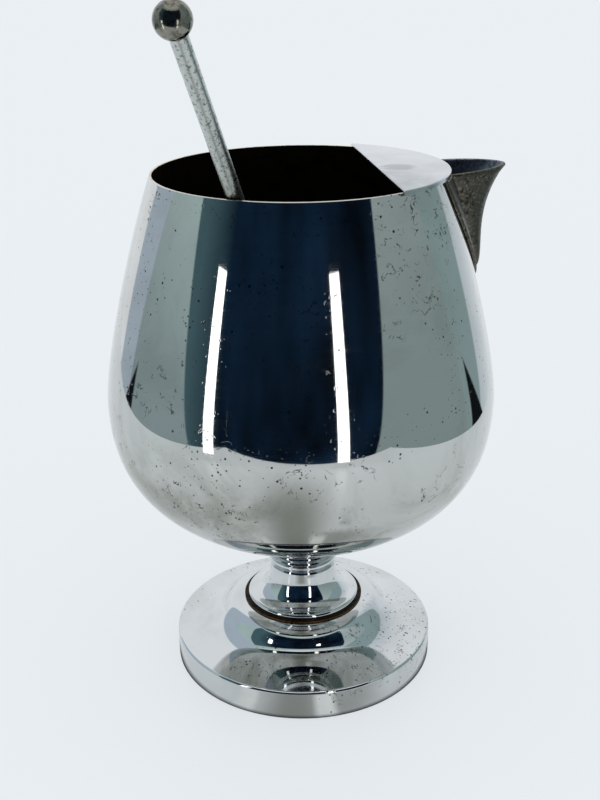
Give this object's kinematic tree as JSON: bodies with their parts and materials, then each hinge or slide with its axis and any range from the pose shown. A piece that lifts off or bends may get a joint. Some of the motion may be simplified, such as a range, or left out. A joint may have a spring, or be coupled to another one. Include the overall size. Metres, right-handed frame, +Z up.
{
  "type": "cocktail pitcher",
  "caption": "Footed metal cocktail pitcher: a tulip bowl with a flat ice guard and a cast pouring spout, on a spool stem and a hollow round foot, with a ball-ended stirring rod leaning in it.",
  "frame": {"origin": "centre of the foot's rest face, on the table", "axes": "+Z up along the bowl's axis; +X towards the pouring spout; +Y to the left of one who looks along +X"},
  "size_m": [0.1726, 0.1884, 0.3012],
  "materials": {
    "bowl_chrome": "pitted chrome plate",
    "guard_satin": "satin",
    "spout_cast": "worn, speckled casting",
    "stem_chrome": "polished, lightly pitted",
    "ring_rusted": "rusted edge",
    "foot_chrome": "polished, lightly pitted",
    "boss_brass": "turned",
    "hardware_steel": "zinc plated",
    "rod_steel": "drawn, speckled",
    "ball_tarnished": "polished, tarnished"
  },
  "bodies": {
    "pitcher": {"bowl": "bowl_chrome", "ice_guard": "guard_satin", "spout": "spout_cast", "stem": "stem_chrome", "stem_ring": "ring_rusted", "foot": "foot_chrome", "bowl_boss": "boss_brass", "tie_stud": "hardware_steel", "clamp_plate": "hardware_steel", "lock_washer": "hardware_steel", "hex_nut": "hardware_steel"},
    "stirrer": {"stirring_rod": "rod_steel", "rod_ball": "ball_tarnished"}
  },
  "joints": [
    {"name": "stirrer_lift", "type": "slide", "parent": "pitcher", "child": "stirrer", "axis": [-0.2501, -0.5921, 0.766], "range_m": [0, 0.2]}
  ]
}
